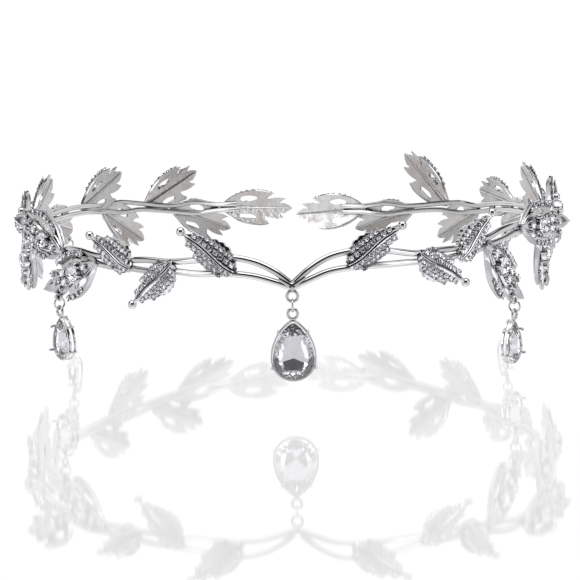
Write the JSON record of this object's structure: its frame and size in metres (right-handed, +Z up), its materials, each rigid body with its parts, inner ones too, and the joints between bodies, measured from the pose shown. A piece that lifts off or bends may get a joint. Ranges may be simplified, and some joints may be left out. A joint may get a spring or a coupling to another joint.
{
  "type": "rhinestone headband",
  "caption": "Open leaf vine headband in polished silver tone metal, set with clear rhinestones, with free-hanging pear drops at the forehead and under the leaves.",
  "frame": {"origin": "middle of the open oval ring, at the level of the vine, where the head is", "axes": "-Y points to the forehead drop, +X to the side at the picture's right, +Z up"},
  "size_m": [0.1501, 0.2198, 0.0427],
  "materials": {
    "silver": "polished silver plate",
    "crystal": "cut and foiled",
    "small_crystal": "cut and foiled",
    "pear_crystal": "cut, open backed"
  },
  "bodies": {
    "band": {"vine_frame": "silver", "stone_left_4": "crystal", "stone_left_5": "crystal", "stone_left_6": "crystal", "stone_left_7": "crystal", "stone_left_8": "crystal", "stone_left_9": "crystal", "stone_left_10": "crystal", "stone_left_11": "crystal", "stone_left_12": "crystal", "stone_left_13": "crystal", "stone_left_14": "crystal", "stone_left_15": "crystal", "stone_right_4": "crystal", "stone_right_5": "crystal", "stone_right_6": "crystal", "stone_right_7": "crystal", "stone_right_8": "crystal", "stone_right_9": "crystal", "stone_right_10": "crystal", "stone_right_11": "crystal", "stone_right_12": "crystal", "stone_right_13": "crystal", "stone_right_14": "crystal", "stone_right_15": "crystal", "accent_stones_left": "small_crystal", "accent_stones_right": "small_crystal"},
    "ring_front": {"link_front": "silver"},
    "drop_front": {"setting_front": "silver", "pear_front": "pear_crystal"},
    "ring_left_temple": {"link_left_temple": "silver"},
    "drop_left_temple": {"setting_left_temple": "silver", "pear_left_temple": "pear_crystal"},
    "ring_right_temple": {"link_right_temple": "silver"},
    "drop_right_temple": {"setting_right_temple": "silver", "pear_right_temple": "pear_crystal"},
    "ring_left_rear": {"link_left_rear": "silver"},
    "drop_left_rear": {"setting_left_rear": "silver", "pear_left_rear": "pear_crystal"},
    "ring_right_rear": {"link_right_rear": "silver"},
    "drop_right_rear": {"setting_right_rear": "silver", "pear_right_rear": "pear_crystal"}
  },
  "joints": [
    {"name": "front_fore_aft", "type": "hinge", "parent": "band", "child": "ring_front", "pos_m": [0, -0.1061, -0.0075], "axis": [1, 0, 0], "range_deg": [-40, 40]},
    {"name": "front_sideways", "type": "hinge", "parent": "ring_front", "child": "drop_front", "pos_m": [0, -0.1061, -0.0098], "axis": [0, -1, 0], "range_deg": [-40, 40]},
    {"name": "left_temple_fore_aft", "type": "hinge", "parent": "band", "child": "ring_left_temple", "pos_m": [-0.05791, -0.06781, -0.01077], "axis": [0.628, -0.7782, 0], "range_deg": [-40, 40]},
    {"name": "left_temple_sideways", "type": "hinge", "parent": "ring_left_temple", "child": "drop_left_temple", "pos_m": [-0.05791, -0.06781, -0.01307], "axis": [-0.7782, -0.628, 0], "range_deg": [-40, 40]},
    {"name": "right_temple_fore_aft", "type": "hinge", "parent": "band", "child": "ring_right_temple", "pos_m": [0.05528, -0.06844, -0.01406], "axis": [0.5313, 0.8472, 0], "range_deg": [-40, 35]},
    {"name": "right_temple_sideways", "type": "hinge", "parent": "ring_right_temple", "child": "drop_right_temple", "pos_m": [0.05528, -0.06844, -0.01636], "axis": [0.8472, -0.5313, 0], "range_deg": [-40, 40]},
    {"name": "left_rear_fore_aft", "type": "hinge", "parent": "band", "child": "ring_left_rear", "pos_m": [-0.06653, 0.04496, -0.00775], "axis": [-0.2042, -0.9789, 0], "range_deg": [-40, 40]},
    {"name": "left_rear_sideways", "type": "hinge", "parent": "ring_left_rear", "child": "drop_left_rear", "pos_m": [-0.06653, 0.04496, -0.01005], "axis": [-0.9789, 0.2042, 0], "range_deg": [-40, 40]},
    {"name": "right_rear_fore_aft", "type": "hinge", "parent": "band", "child": "ring_right_rear", "pos_m": [0.0651, 0.04931, -0.00915], "axis": [-0.2348, 0.972, 0], "range_deg": [-40, 40]},
    {"name": "right_rear_sideways", "type": "hinge", "parent": "ring_right_rear", "child": "drop_right_rear", "pos_m": [0.0651, 0.04931, -0.01145], "axis": [0.972, 0.2348, 0], "range_deg": [-40, 40]}
  ]
}
